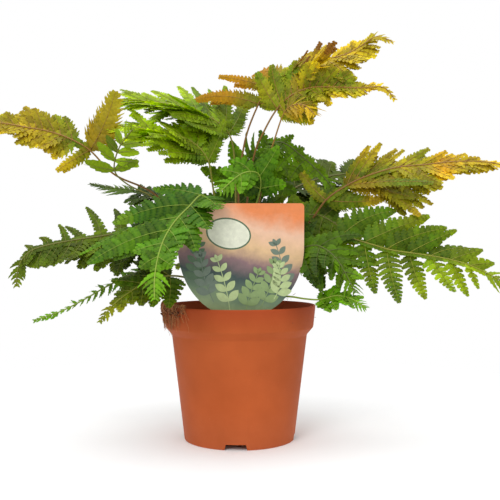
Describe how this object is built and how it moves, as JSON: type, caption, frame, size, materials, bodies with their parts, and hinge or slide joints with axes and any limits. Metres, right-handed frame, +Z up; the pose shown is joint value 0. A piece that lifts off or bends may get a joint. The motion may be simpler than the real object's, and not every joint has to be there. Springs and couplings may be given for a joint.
{
  "type": "potted autumn fern",
  "caption": "Fern with arching feathery fronds turning from green to gold, in a tapered plastic nursery pot with peat and a plain picture label on a stake.",
  "frame": {"origin": "on the pot's axis, on the level surface that the pot stands on", "axes": "+Z up; +X to the right as seen from the front, along the widest spread of the fronds; the label and the front of the pot face -Y"},
  "size_m": [0.4272, 0.2351, 0.3147],
  "materials": {
    "pot": "satin moulded",
    "soil": "rough moist peat",
    "label": "printed, satin",
    "dry_roots": "dry fibres",
    "gold": "leaf, autumn gold",
    "olive": "leaf, olive",
    "green": "leaf, green",
    "bright": "leaf, bright green",
    "dark": "leaf, dark green"
  },
  "bodies": {
    "root": {"pot": "pot", "soil": "soil", "label": "label", "dry_roots": "dry_roots", "frond_top_gold": "gold", "frond_left_gold": "gold", "frond_right_gold": "gold", "frond_right_green": "green", "frond_left_olive": "olive", "frond_front_bright": "bright", "frond_left_arching": "green", "frond_left_middle": "green", "frond_top_lower": "gold", "frond_top_small": "gold", "frond_left_young": "olive", "frond_middle_light": "bright", "frond_left_long_low": "bright", "frond_left_short_low": "green", "frond_right_dark": "dark", "frond_right_low": "bright", "frond_middle_dark": "dark", "frond_right_middle": "dark", "frond_right_inner": "olive", "frond_back_left_dark": "dark", "frond_back_right": "olive", "frond_back_low_right": "dark", "frond_back_middle": "green", "frond_back_far_left": "green"}
  },
  "joints": []
}
